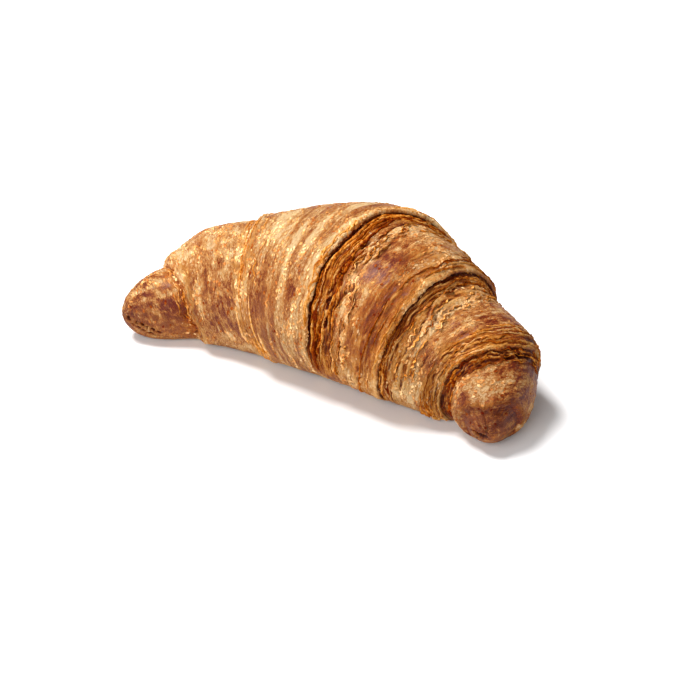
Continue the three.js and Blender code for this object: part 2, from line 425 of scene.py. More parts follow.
# Torn ends: the layers gape in lens-shaped holes. Each row of them: the share and turn of its first hole and
# of its last, how many there are, half the length and height of one and its depth in mm, and its lean in
# degrees. Where there is more than one, each strays a little in place, size and lean.
HOLE_ROWS = [
    ((0.996, 0.16), (0.996, 0.16), 1, (3.6, 1.2), 1.8, -3),
    ((0.985, 0.12), (0.985, 0.12), 1, (1.8, 0.8), 0.8, 25),
    ((0.004, 0.24), (0.052, 0.18), 6, (1, 0.6), 1.1, -50),
    ((0.01, 0.205), (0.045, 0.145), 5, (1.1, 0.55), 1, -45),
    ((0.93, 0.55), (0.915, 0.62), 3, (1.8, 0.8), 1, -30),
    ((0.535, 0.3), (0.53, 0.35), 4, (1.6, 0.7), 1.4, 75),
    ((0.535, 0.39), (0.565, 0.45), 5, (1.9, 0.7), 1.4, 70),
]
hole_random = np.random.default_rng(3)
hole_number = 0
torn = np.zeros_like(height)
torn_out = np.zeros_like(height)
for first, last, count, size, deep, lean in HOLE_ROWS:
    for part in np.linspace(0, 1, count):
        stray = hole_random.uniform(-1, 1, 3) if count > 1 else np.zeros(3)
        half_width, half_height = np.array(size) * (1 + 0.4 * stray[2])
        at_share = first[0] + part * (last[0] - first[0]) + 0.003 * abs(stray[1])
        at_turn = first[1] + part * (last[1] - first[1]) + 0.012 * stray[2]
        uneven = 0.3 * noise(3, 4, 450 + hole_number, 2)
        far = oval_distance(at_share, at_turn, half_width, half_height, lean + 22 * stray[0], uneven)
        inside = 1 - smooth_step((far - 0.45) / 0.75)
        rim = np.exp(-((far - 1.55) / 0.4) ** 2)
        torn = np.maximum(torn, inside)
        torn_out += 0.25 * rim - deep * inside
        hole_number += 1

# For each wrap: how far its glaze is drawn out in streaks, and how far its skin is pulled into thin ridges.
streaked = np.array([0.2, 0.35, 0.8, 0.5, 0.6, 0.4, 0.2])[row_wrap][:, None]
pull = np.array([0.35, 0.6, 0.5, 1.0, 1.1, 0.8, 0.4])[row_wrap][:, None]
# The egg wash lies in streaks and patches, from 0 where there is none to 1. Over the left crown and just
# behind it the wash is made thinner, which paints that top paler as a painted sheen.
streak = 0.8 * np.tanh(2.2 * noise(5.2, 36, 500, 3))
wash = 0.5 + 0.54 * (streaked * streak + (1 - streaked) * noise(4.5, 6.5, 505, 3))
wash -= 0.2 * part_of_round(0.44, 0.62) * (1 - smooth_step((row_wrap[:, None] - 2.5) / 1.5))
# The thin horns bake darker over these mm from their ends, the left one most of all on its front.
LEFT_BAKED = 30
RIGHT_BAKED = 40
left_end = smooth_step(1 - place / LEFT_BAKED) ** 2 * (0.15 + 0.35 * part_of_round(-0.2, 0.36))
right_end = 0.5 * smooth_step(1 - (edge_length[-1] - place) / RIGHT_BAKED) ** 2
baked = 0.06 + left_end + right_end
# The skin swells, blisters, and is pulled into long, thin, sharp ridges of two sizes.
swell = noise(16, 34, 530, 2)
blister = noise(2.0, 2.6, 520, 2)
long_ridge = 1 - 2.2 * np.abs(noise(3.6, 24, 540, 2))
short_ridge = 1 - 2.2 * np.abs(noise(1.9, 9, 550, 2))
pulled = pull * (0.75 + 0.5 * noise(14, 20, 560, 2))
skin = 0.35 * swell + 0.12 * streak + pulled * (0.2 * long_ridge + 0.13 * short_ridge)
skin += 0.2 * smooth_step((blister - 0.15) / 0.7)
relief_out = ridges + skin * (0.35 + 0.65 * open_side) + spot_out + torn_out

# How dark or pale the crust is beside the edges: the edge and side, from and to in mm beside it, how much
# darker, and the turns that it lies between.
ALL_ROUND = (-0.2, 1.2)
NOT_UNDER = (0.1, 0.9)
TONES = [
    (0, "right", -3, 23, 0.15, ALL_ROUND),
    (1, "left", 0, 4, -0.3, ALL_ROUND),
    (1, "right", 0, 4, -0.2, ALL_ROUND),
    (2, "left", 0, 4, -0.45, NOT_UNDER),
    (2, "right", 0, 3, -0.25, NOT_UNDER),
    (3, "left", 0, 3, -0.45, NOT_UNDER),
    (3, "right", 0.3, 11, 0.5, (0.17, 0.9)),
    (3, "right", 12, 16, -0.3, (0.3, 0.9)),
    (4, "right", 0.3, 3, 0.4, NOT_UNDER),
    (4, "right", 4, 13, -0.15, NOT_UNDER),
    (5, "left", 1, 6, 0.15, NOT_UNDER),
    (5, "right", 0.3, 5, 0.5, NOT_UNDER),
    (6, "left", 0.5, 11, -0.35, (0.1, 0.58)),
]
for number, (edge, side, nearest, furthest, darker, between) in enumerate(TONES):
    distance = beside(edge, side)
    strayed = distance + 1.3 * noise(7, 9, 600 + number, 3)
    soft = 0.3 * min(furthest - nearest, 8) + 0.4
    shown = smooth_step((strayed - nearest) / soft + 0.5)
    shown = shown * smooth_step((furthest - strayed) / soft + 0.5) * part_of_round(*between)
    strong = np.clip(1 + 0.9 * noise(20, 18, 630 + number, 2), 0, 1.6)
    tone += np.where(distance > NOWHERE, shown, 0) * darker * strong

points = smooth_points + (height + relief_out)[..., None] * facing_out
# The tray flattens the belly, which turns into the underside over a short round.
rough_height = points[..., 2]
points[..., 2] = (rough_height + np.sqrt(rough_height * rough_height + TRAY_ROUND * TRAY_ROUND)) / 2
points[..., 2] -= points[..., 2].min()
poles = crescent(np.array([0.0, 1.0]), np.array([0.5, 0.5]))

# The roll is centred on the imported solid.
lowest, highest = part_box("croissant")
middle = np.array([(lowest.x + highest.x) / 2, (lowest.y + highest.y) / 2, 0]) / MM
drawn = points.reshape(-1, 3)
shift = middle - (drawn.min(0) + drawn.max(0)) / 2
shift[2] = 0
points += shift
poles += shift


def mean_around(values, rows, columns):
    """Each value's mean over a window of rows and columns, closed round the roll."""
    padded = np.pad(values, ((rows, rows), (0, 0)), mode="edge")
    summed = sum(padded[i:i + len(values)] for i in range(2 * rows + 1)) / (2 * rows + 1)
    return sum(np.roll(summed, i, axis=1) for i in range(-columns, columns + 1)) / (2 * columns + 1)


stands = height + relief_out
hollow = mean_around(stands, 4, 1) - stands  # mm under the neighbours
# Painted shade: how far a point lies under its wider neighbours. It darkens and warms the colour in the
# hollows, as their shade would.
sheltered = 0.75 * smooth_step((mean_around(stands, 12, 3) - stands) / 0.8)

row_count = len(place)
vertices = np.concatenate([points.reshape(-1, 3), poles]) * MM
row = np.arange(row_count - 1)[:, None] * COLUMNS
column = np.arange(COLUMNS)
ahead = (column + 1) % COLUMNS
below = row + COLUMNS
quads = np.stack([row + column, below + column, below + ahead, row + ahead], -1).reshape(-1, 4)
left_fan = np.stack([np.full(COLUMNS, row_count * COLUMNS), column, ahead], -1)
last_row = (row_count - 1) * COLUMNS
right_fan = np.stack([np.full(COLUMNS, row_count * COLUMNS + 1), last_row + ahead, last_row + column], -1)
roll_mesh = bpy.data.meshes.new("croissant_roll")
roll_mesh.from_pydata(vertices.tolist(), [], quads.tolist() + left_fan.tolist() + right_fan.tolist())
roll_mesh.shade_smooth()


def keep(mesh, name, values):
    """Stores a number or a vector for each point of a mesh."""
    values = np.asarray(values, np.float32)
    kind, field = ("FLOAT_VECTOR", "vector") if values.ndim > 1 else ("FLOAT", "value")
    mesh.attributes.new(name, kind, "POINT").data.foreach_set(field, values.ravel())


# The patterns of the crust are laid on the roll as it was before it was bent: straight, and closed round its
# axis. The grain is the way that the dough was pulled, round the roll.
section_round = np.linalg.norm(np.roll(smooth_points, -1, axis=1) - smooth_points, axis=-1).sum(axis=1)
radius = (section_round / (2 * np.pi))[:, None]
straight = np.stack([lane, radius * np.sin(2 * np.pi * turns), radius * np.cos(2 * np.pi * turns)], -1)
grain = np.roll(points, -1, axis=1) - np.roll(points, 1, axis=1)
keep(roll_mesh, "straight", np.concatenate([straight.reshape(-1, 3), [[0, 0, 0], [mean_length[-1], 0, 0]]]))
keep(roll_mesh, "grain", np.concatenate([grain.reshape(-1, 3), [[0, 1, 0], [0, 1, 0]]]))
# Where small flakes have come up: on the pale, open crust, least on the back.
pale = smooth_step((0.62 - wash - 0.5 * tone) / 0.35) * smooth_step(0.5 + 1.2 * noise(7, 11, 700, 2))
flaky = (0.06 + 0.94 * pale) * open_side * (1 - 0.5 * layers) * (1 - 0.7 * part_of_round(0.57, 0.9))
# Each has its values at the grid's points, and one at the two horns' ends.
for name, values, at_ends in (
    # The torn holes count as deeper hollows, so that the painted shade in the crust's colour darkens them
    # more.
    ("hollow", hollow + 0.5 * torn, 0.0),
    ("sheltered", sheltered, 0.0),
    ("layers", np.maximum(layers, torn), 0.0),
    ("wash", wash, 0.7),
    ("tone", tone, 0.0),
    ("flaky", flaky, 0.0),
    ("baked", baked, 0.7),
):
    keep(roll_mesh, name, np.append(values, [at_ends, at_ends]))


def put(name, data):
    """Puts a mesh, a lamp or a camera in the scene."""
    thing = bpy.data.objects.new(name, data)
    bpy.context.scene.collection.objects.link(thing)
    return thing


def linear(colour):
    """An sRGB hex colour as linear red, green, blue and alpha."""
    parts = [int(colour[i:i + 2], 16) / 255 for i in (1, 3, 5)]
    return [p / 12.92 if p <= 0.04045 else ((p + 0.055) / 1.055) ** 2.4 for p in parts] + [1]


def add(tree, kind, settings=None, **inputs):
    """Adds a node. settings are its own properties, with "stops" for a ramp's places and colours, or only its
    operation. inputs are its sockets, by name or as in0, in1 and so on by number: each takes a value, another
    node's output, or a node, which stands for its first output."""
    node = tree.nodes.new(kind)
    if isinstance(settings, str):
        settings = {"operation": settings}
    for name, setting in (settings or {}).items():
        if name == "stops":
            while len(node.color_ramp.elements) < len(setting):
                node.color_ramp.elements.new(0.5)
            for element, (position, colour) in zip(node.color_ramp.elements, setting):
                element.position = position
                element.color = linear(colour)
        else:
            setattr(node, name, setting)
    for name, given in inputs.items():
        is_number = name.startswith("in") and name[2:].isdigit()
        socket = node.inputs[int(name[2:]) if is_number else name.replace("_", " ")]
        if isinstance(given, bpy.types.Node):
            given = given.outputs[0]
        if isinstance(given, bpy.types.NodeSocket):
            tree.links.new(given, socket)
        else:
            socket.default_value = given
    return node


def new_material(name):
    """A material with an empty tree, and in that tree the place on the object in millimetres."""
    material = bpy.data.materials.new(name)
    material.use_nodes = True
    tree = material.node_tree
    tree.nodes.clear()
    own_place = add(tree, "ShaderNodeTexCoord").outputs["Object"]
    return material, tree, add(tree, "ShaderNodeMapping", Vector=own_place, Scale=(1000, 1000, 1000))


# Wheat dough under a brushed egg wash, baked. The wash dries in mauve-brown streaks with a low gloss, between
# paler, matt, scaly dough, and the bare layers beside the edges fry in their butter to gold. Their colour is
# painted paler on their tops as a highlight, and deep orange-brown in the hollows as painted shade.
crust, tree, in_mm = new_material("egg-washed baked laminated dough")
on_roll = add(tree, "ShaderNodeAttribute", {"attribute_name": "straight"}).outputs["Vector"]
value = {}
for name in ("wash", "layers", "hollow", "sheltered", "baked", "tone"):
    value[name] = add(tree, "ShaderNodeAttribute", {"attribute_name": name}).outputs["Fac"]
# The patterns: what they lie on, their features' mm along the roll and round it, their detail and roughness.
PATTERNS = {
    "streaks": (on_roll, 1.1, 9.0, 4.0, 0.6),
    "fibres": (on_roll, 0.5, 4.0, 4.0, 0.6),
    "mottle": (on_roll, 1.7, 3.8, 5.0, 0.66),
    "grit": (on_roll, 0.36, 0.8, 3.0, 0.8),
    "drift": (in_mm, 14.0, 14.0, 2.0, 0.5),
    "patches": (on_roll, 3.6, 9.0, 4.0, 0.62),
}
for name, (lies_on, across, along, detail, rough) in PATTERNS.items():
    laid = add(tree, "ShaderNodeMapping", Vector=lies_on, Scale=(1 / across, 1 / along, 1 / along))
    value[name] = add(tree, "ShaderNodeTexNoise", Vector=laid, Scale=1.0, Detail=detail, Roughness=rough)
# Scales of dried skin, longer round the roll than across it and bent out of line by the patches: each has its
# own shade, and a crack runs between them.
SCALE_WIDTH = 0.8  # mm
SCALE_LENGTH = 1.7
bent = add(tree, "ShaderNodeVectorMath", "SCALE", in0=value["patches"].outputs[1], Scale=2.0)
laid = add(tree, "ShaderNodeMapping", Vector=on_roll, Scale=(1 / SCALE_WIDTH, 1 / SCALE_LENGTH,
           1 / SCALE_LENGTH))
laid = add(tree, "ShaderNodeVectorMath", "ADD", in0=laid, in1=bent)
scales = add(tree, "ShaderNodeTexVoronoi", Vector=laid, Scale=1.0, Randomness=1.0)
value["scale_shade"] = add(tree, "ShaderNodeSeparateColor", Color=scales.outputs["Color"])
value["scale_edge"] = scales.outputs["Distance"]

# Weighted sums of the patterns, each with its start and its weights. A later one may use an earlier one.
SUMS = {
    "glaze": (-2.2, {"wash": 1.0, "tone": 0.6, "streaks": 0.8, "mottle": 0.9, "grit": 1.9, "patches": 0.3,
                     "scale_shade": 0.3, "scale_edge": 0.3}),
    "fine_height": (-2.35, {"streaks": 1.2, "fibres": 1.4, "mottle": 0.8, "grit": 1.3}),
    # depth runs the bare layers' colour darker in the hollows, which is painted shade, and where the crust
    # baked darker.
    "depth": (0.5, {"hollow": 1.0, "tone": 0.5, "fine_height": -0.75}),
    "standing": (0.0, {"hollow": -0.8, "fine_height": 1.0}),
    "sunk": (0.0, {"hollow": 1.0, "fine_height": -0.3}),
    "scaly": (0.4, {"glaze": -1.0, "grit": 2.2, "scale_shade": 0.9, "scale_edge": -0.8}),
    "washed": (0.0, {"glaze": 1.0, "layers": -0.8}),
    "bumps": (0.0, {"grit": 2.8, "fibres": 1.7, "mottle": 1.2, "scale_edge": -0.9, "scale_shade": 0.5}),
}
for name, (total, weights) in SUMS.items():
    for source, weight in weights.items():
        total = add(tree, "ShaderNodeMath", "MULTIPLY_ADD", in0=value[source], in1=weight, in2=total)
    value[name] = total
# Values that go over from one to another: the source, where it starts and ends, and what it is at each.
SMOOTH = {"interpolation_type": "SMOOTHSTEP"}
RANGES = {
    "dough": (SMOOTH, "drift", 0.4, 0.65, 0.0, 0.3),
    # painted highlight: paler where the crust stands over its neighbours
    "crest": (SMOOTH, "standing", 0.2, 0.65, 0.0, 0.42),
    "pale_scales": (SMOOTH, "scaly", 1.35, 1.75, 0.0, 0.8),
    # painted shade: dark where the crust lies sunk, the torn holes most of all
    "crevice": (SMOOTH, "sunk", 0.05, 0.5, 0.0, 0.85),
    "roughness": ({}, "glaze", 0.2, 0.9, 0.58, 0.38),
    "coat": (SMOOTH, "washed", 0.3, 0.8, 0.0, 0.28),
}
for name, (curve, source, start, end, least, most) in RANGES.items():
    value[name] = add(tree, "ShaderNodeMapRange", curve, in0=value[source], in1=start, in2=end, in3=least,
                      in4=most)
SKIN_STOPS = [(0.0, "#f4cf95"), (0.2, "#e6b67c"), (0.42, "#d29552"), (0.62, "#ba7239"), (0.82, "#9c4c10"),
              (1.0, "#701f00")]
LAYER_STOPS = [(0.0, "#f3c480"), (0.25, "#e2a04e"), (0.5, "#bf7220"), (0.72, "#923f00"), (1.0, "#4a1100")]
DARK_BAKED = "#9c5010"  # what the hottest places are tinted with
# Laid over each other from the bottom up: the mask, the colour and how it is mixed in.
OVERLAYS = [
    ("dough", linear("#cd8038"), "MIX"),
    ("layers", add(tree, "ShaderNodeValToRGB", {"stops": LAYER_STOPS}, Fac=value["depth"]).outputs[0], "MIX"),
    ("pale_scales", linear("#f4d19e"), "MIX"),
    ("crest", linear("#f2b766"), "MIX"),
    ("crevice", linear("#5a1e00"), "MIX"),
    # painted shade: a warm darkening in the wider hollows
    ("sheltered", linear("#dc9748"), "MULTIPLY"),
    ("baked", linear(DARK_BAKED), "MULTIPLY"),
]
colour = add(tree, "ShaderNodeValToRGB", {"stops": SKIN_STOPS}, Fac=value["glaze"])
for mask, over, blend in OVERLAYS:
    colour = add(tree, "ShaderNodeMix", {"data_type": "RGBA", "blend_type": blend}, in0=value[mask],
                 in6=colour, in7=over).outputs[2]
bump = add(tree, "ShaderNodeBump", Height=value["bumps"], Distance=0.5 * MM, Strength=1.0)
shader = add(tree, "ShaderNodeBsdfPrincipled", Base_Color=colour, Roughness=value["roughness"],
             Specular_IOR_Level=0.03, Coat_Weight=value["coat"], Coat_Roughness=0.42, Sheen_Weight=0.03,
             Sheen_Roughness=0.4, Sheen_Tint=linear("#fff0d8"), Normal=bump)
add(tree, "ShaderNodeOutputMaterial", Surface=shader)
roll_mesh.materials.append(crust)

croissant = put("croissant_roll", roll_mesh)
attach(croissant, "root")
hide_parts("croissant")


# ---- The torn leaves ----
# The layers are thinner than paper and tear along the edges as the dough springs up in the oven. Each leaf is
# a narrow curled strip that follows the edge: one side is rooted in the crust and the other stands free.
# Where they are: the edge; its side, -1 for left; from and to in mm beside it; how many; their lengths and
# half widths in mm; the turns that they lie between; their free side, 1 or -1; and how dark they baked.
LEAF_AREAS = [
    (1, -1, (0.2, 6), 12, (6, 22), (0.4, 0.7), (0.2, 0.8), 1, (0, 0.5)),
    (2, -1, (0, 5), 14, (8, 26), (0.35, 0.6), (0.14, 0.8), 1, (0, 0.4)),
    (2, 1, (0.5, 6), 12, (8, 24), (0.35, 0.6), (0.14, 0.8), 1, (0, 0.5)),
    (3, -1, (0.1, 1.6), 26, (4, 14), (0.5, 1), (0.24, 0.8), 1, (0.1, 0.6)),
    (3, 1, (0.6, 10), 48, (7, 34), (0.6, 1.3), (0.22, 0.8), 1, (0.3, 1)),
    (3, 1, (10, 17), 80, (1.8, 7), (0.5, 1.4), (0.2, 0.75), -1, (0.1, 0.6)),
    (4, -1, (0.1, 7), 26, (6, 24), (0.5, 1), (0.18, 0.8), 1, (0.2, 0.8)),
    (4, 1, (0.5, 5), 26, (9, 34), (0.4, 0.9), (0.16, 0.8), 1, (0.3, 0.9)),
    (4, 1, (5, 14), 60, (1.8, 7), (0.4, 1.1), (0.24, 0.75), -1, (0.15, 0.7)),
    (5, -1, (0.1, 9), 44, (6, 28), (0.4, 0.9), (0.14, 0.8), 1, (0.1, 0.8)),
    (5, 1, (0.5, 6), 24, (5, 18), (0.5, 1.1), (0.2, 0.75), 1, (0.4, 1.1)),
]
LEAF_STEP = 0.65  # mm between the points of a leaf
LEAF_LEAST_HEIGHT = 1.6  # mm over the tray
LEAF_CLEAR = 0.05  # mm that a leaf's middle lies over the skin
LEAF_TIP = 0.05  # mm, the half width at a leaf's ends
closed_turn = np.append(turn, 1.0)


def at_turn_of(values, at_turn):
    """A value kept for each column, read at any turn."""
    return np.interp(at_turn % 1.0, closed_turn, np.append(values, values[0]))


def on_skin(at_turn, at_place):
    """The point of the roll's skin at a turn and a place in mm along the roll, the way that it faces, and the
    painted shade of the hollow that it lies in."""
    column_at = np.interp(at_turn % 1.0, closed_turn, np.arange(COLUMNS + 1))
    before = int(column_at)
    part = column_at - before
    point = 0
    for near, weight in ((before % COLUMNS, 1 - part), ((before + 1) % COLUMNS, part)):
        row_at = np.interp(at_place, base_place[:, near], np.arange(row_count))
        under = min(int(row_at), row_count - 2)
        past = row_at - under
        point = point + weight * (points[under, near] * (1 - past) + points[under + 1, near] * past)
    near = before % COLUMNS
    at_share = np.interp(at_place, table_length[:, near], table_share)
    return point, outward(np.array(at_share), np.array(at_turn % 1.0)), sheltered[under, near]


leaf_random = np.random.default_rng(7)
leaf_points = []
leaf_links = []
leaf_facing = []
leaf_half_width = []
leaf_tone = []
for edge, side, off_edge, count, lengths, half_widths, between, free_side, tones in LEAF_AREAS:
    for _ in range(count):
        length = leaf_random.uniform(*lengths)
        half_width = leaf_random.uniform(*half_widths) * MM
        distance = leaf_random.uniform(*off_edge)
        middle_turn = leaf_random.uniform(*between)
        # The leaves are narrower past the crown.
        half_width *= 1 - 0.45 * smooth_step((middle_turn - 0.48) / 0.12)
        # The way round is shorter on the roll's two sides than over its crown.
        span = length / ROUND_MM / np.interp(middle_turn, [0.1, 0.5, 0.9], [0.8, 1.0, 0.8])
        slope = leaf_random.normal(0, 0.05) * length
        wave = leaf_random.normal(0, 0.35)
        waves = leaf_random.uniform(1, 2.5)
        lead = leaf_random.uniform(0, 2 * np.pi)
        dark = leaf_random.uniform(*tones)
        first_point = len(leaf_points)
        # Laid the other way, a leaf has its free side on its other side.
        for part in np.linspace(0, 1, int(length / LEAF_STEP) + 6)[::-free_side]:
            at_turn = middle_turn + span * (part - 0.5)
            off = distance + slope * (part - 0.5) + wave * np.sin(waves * 2 * np.pi * part + lead)
            at_place = at_turn_of(edge_length[edge], at_turn) + side * max(off, 0.1)
            point, facing, hollow_shade_here = on_skin(at_turn, at_place)
            point[2] = max(point[2], LEAF_LEAST_HEIGHT)
            # Widest in its middle, and a little uneven.
            taper = max(np.sin(np.pi * part), 0.0) ** 0.6 * (1 + 0.25 * np.sin(9 * part + lead))
            leaf_points.append(point * MM + facing * LEAF_CLEAR * MM)
            leaf_facing.append(facing)
            leaf_half_width.append(half_width * taper + LEAF_TIP * MM)
            # Painted shade: a leaf is darker where it lies in a hollow of the crust.
            leaf_tone.append(dark + 0.4 * hollow_shade_here)
        leaf_links += [(i, i + 1) for i in range(first_point, len(leaf_points) - 1)]

leaf_paths = bpy.data.meshes.new("leaf_paths")
leaf_paths.from_pydata([tuple(point) for point in leaf_points], leaf_links, [])
for name, values in (("facing", leaf_facing), ("half_width", leaf_half_width), ("leaf_tone", leaf_tone)):
    keep(leaf_paths, name, values)

# One bare layer of dough, fried in its butter: matt and rough, blotted from gold to brown, and darker where
# it lies in a hollow of the crust, which is painted shade.
leaf_dough, tree, in_mm = new_material("torn baked dough leaf")
shade = add(tree, "ShaderNodeAttribute", {"attribute_name": "leaf_tone"}).outputs["Fac"]
blots = add(tree, "ShaderNodeTexNoise", Vector=in_mm, Scale=1 / 1.6, Detail=5.0, Roughness=0.72)
pits = add(tree, "ShaderNodeTexNoise", Vector=in_mm, Scale=1 / 0.7, Detail=3.0, Roughness=0.6)
shade = add(tree, "ShaderNodeMath", "MULTIPLY_ADD", in0=blots, in1=2.0, in2=shade)
shade = add(tree, "ShaderNodeMath", "SUBTRACT", in0=shade, in1=1.0)
LEAF_STOPS = [(0.0, "#f3c384"), (0.25, "#e3a050"), (0.5, "#c27523"), (0.75, "#984500"), (1.0, "#641c00")]
colour = add(tree, "ShaderNodeValToRGB", {"stops": LEAF_STOPS}, Fac=shade)
bump = add(tree, "ShaderNodeBump", Height=pits, Distance=0.4 * MM, Strength=1.0)
shader = add(tree, "ShaderNodeBsdfPrincipled", Base_Color=colour, Roughness=0.55, Specular_IOR_Level=0.03,
             Normal=bump)
add(tree, "ShaderNodeOutputMaterial", Surface=shader)


def new_group(name, sizes):
    """A Geometry Nodes tree that takes a mesh and the named sizes, and what its nodes are given of them."""
    group = bpy.data.node_groups.new(name, "GeometryNodeTree")
    group.interface.new_socket("Guide", in_out="INPUT", socket_type="NodeSocketGeometry")
    for size_name, size in sizes.items():
        kind = {float: "NodeSocketFloat", int: "NodeSocketInt"}.get(type(size), "NodeSocketMaterial")
        group.interface.new_socket(size_name, in_out="INPUT", socket_type=kind)
    group.interface.new_socket("Grown", in_out="OUTPUT", socket_type="NodeSocketGeometry")
    return group, add(group, "NodeGroupInput").outputs


def end_group(group, geometry, given, detail):
    """Ends a tree: its instances become one mesh, noise makes it ragged, and it gets its material."""
    geometry = add(group, "GeometryNodeRealizeInstances", Geometry=geometry)
    cloud = add(group, "ShaderNodeTexNoise", Vector=add(group, "GeometryNodeInputPosition"),
                Scale=given["Fineness"], Detail=detail)
    moved = add(group, "ShaderNodeVectorMath", "SUBTRACT", in0=cloud.outputs[1], in1=(0.5, 0.5, 0.5))
    moved = add(group, "ShaderNodeVectorMath", "SCALE", in0=moved, Scale=given["Ragged"])
    geometry = add(group, "GeometryNodeSetPosition", Geometry=geometry, Offset=moved)
    geometry = add(group, "GeometryNodeSetMaterial", Geometry=geometry, Material=given["Material"])
    add(group, "NodeGroupOutput", in0=geometry)


def grow(name, guide_mesh, group, sizes):
    """Runs a tree with its sizes on a guide mesh, and keeps the result as an object with a plain mesh."""
    guide = put(name + "_guide", guide_mesh)
    modifier = guide.modifiers.new(name, "NODES")
    modifier.node_group = group
    for socket in group.interface.items_tree:
        if socket.name in sizes:
            modifier[socket.identifier] = sizes[socket.name]
    bpy.context.view_layer.update()
    grown = guide.evaluated_get(bpy.context.evaluated_depsgraph_get())
    plain_mesh = bpy.data.meshes.new_from_object(grown)
    guide.modifiers.remove(modifier)
    bpy.data.objects.remove(guide)
    return put(name, plain_mesh)


LEAF_SIZES = {
    "Thickness": 0.13,  # of the half width, like the next two
    "Rooted Depth": 0.32,
    "Lift": 0.12,
    "Ragged": 0.7 * MM,
    "Fineness": 1100.0,  # of the noise that makes it ragged, per metre
    "Sides": 6,
    "Material": leaf_dough,
}
group, given = new_group("torn leaves", LEAF_SIZES)
curves = add(group, "GeometryNodeMeshToCurve", Mesh=given["Guide"])
facing_here = add(group, "GeometryNodeInputNamedAttribute", {"data_type": "FLOAT_VECTOR"}, Name="facing")
width_here = add(group, "GeometryNodeInputNamedAttribute", Name="half_width")
curves = add(group, "GeometryNodeSetCurveNormal", {"mode": "FREE"}, Curve=curves, Normal=facing_here)
# A leaf's section is a flattened circle that curls up from its rooted side, which is sunk in the crust.
circle = add(group, "GeometryNodeCurvePrimitiveCircle", Resolution=given["Sides"], Radius=1.0)
xyz = add(group, "ShaderNodeSeparateXYZ", Vector=add(group, "GeometryNodeInputPosition")).outputs
curl = add(group, "ShaderNodeMath", "MULTIPLY_ADD", in0=xyz[0], in1=0.5, in2=0.5)
curl = add(group, "ShaderNodeMath", "POWER", in0=curl, in1=1.6)
full_rise = add(group, "ShaderNodeMath", "ADD", in0=given["Lift"], in1=given["Rooted Depth"])
level = add(group, "ShaderNodeMath", "MULTIPLY", in0=given["Rooted Depth"], in1=-1.0)
level = add(group, "ShaderNodeMath", "MULTIPLY_ADD", in0=xyz[1], in1=given["Thickness"], in2=level)
level = add(group, "ShaderNodeMath", "MULTIPLY_ADD", in0=curl, in1=full_rise, in2=level)
section = add(group, "ShaderNodeCombineXYZ", X=xyz[0], Y=level, Z=0.0)
profile = add(group, "GeometryNodeSetPosition", Geometry=circle, Position=section)
strips = add(group, "GeometryNodeCurveToMesh", Curve=curves, Profile_Curve=profile, Scale=width_here,
             Fill_Caps=True)
end_group(group, add(group, "GeometryNodeSetShadeSmooth", Geometry=strips), given, 2.0)

leaves = grow("torn_leaves", leaf_paths, group, LEAF_SIZES)
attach(leaves, "root")


# ---- The flakes ----
# Where the egg wash ran thin, the outermost layer dries first and breaks into small scales. Each is a chip of
# dough no thicker than paper, held by one end, and thousands of them make the pale patches rough.
# A dried chip of the washed skin: matt, and a little paler or darker than the crust that it came up from.
flake_dough, tree, in_mm = new_material("dried flake of baked dough")
blots = add(tree, "ShaderNodeTexNoise", Vector=in_mm, Scale=1 / 1.1, Detail=4.0, Roughness=0.7)
shade = -0.3
for source, weight in (("wash", 0.9), ("tone", 0.6), ("flake_shade", 0.5)):
    here = add(tree, "ShaderNodeAttribute", {"attribute_name": source}).outputs["Fac"]
    shade = add(tree, "ShaderNodeMath", "MULTIPLY_ADD", in0=here, in1=weight, in2=shade)
shade = add(tree, "ShaderNodeMath", "MULTIPLY_ADD", in0=blots, in1=0.9, in2=shade)
colour = add(tree, "ShaderNodeValToRGB", {"stops": SKIN_STOPS}, Fac=shade)
here = add(tree, "ShaderNodeAttribute", {"attribute_name": "baked"}).outputs["Fac"]
colour = add(tree, "ShaderNodeMix", {"data_type": "RGBA", "blend_type": "MULTIPLY"}, in0=here, in6=colour,
             in7=linear(DARK_BAKED)).outputs[2]
shader = add(tree, "ShaderNodeBsdfPrincipled", Base_Color=colour, Roughness=0.55, Specular_IOR_Level=0.03)
add(tree, "ShaderNodeOutputMaterial", Surface=shader)

FLAKE_SIZES = {
    "Density": 900000.0,  # flakes to a square metre, where they lie thickest
    "Least Length": 0.6 * MM,
    "Most Length": 1.6 * MM,
    "Narrowness": 0.5,  # of the length, like the next two
    "Thickness": 0.1,
    "Curl": 0.4,
    "Most Tilt": -0.13,  # radians
    "Most Spin": 0.7,  # radians either way from the grain
    "Ragged": 0.4 * MM,
    "Fineness": 1300.0,
    "Corners": 7,
    "Seed": 5,
    "Material": flake_dough,
}
group, given = new_group("flakes", FLAKE_SIZES)
flaky_here = add(group, "GeometryNodeInputNamedAttribute", Name="flaky")
density = add(group, "ShaderNodeMath", "MULTIPLY", in0=flaky_here, in1=given["Density"])
scattered = add(group, "GeometryNodeDistributePointsOnFaces", Mesh=given["Guide"], Density=density,
                Seed=given["Seed"]).outputs
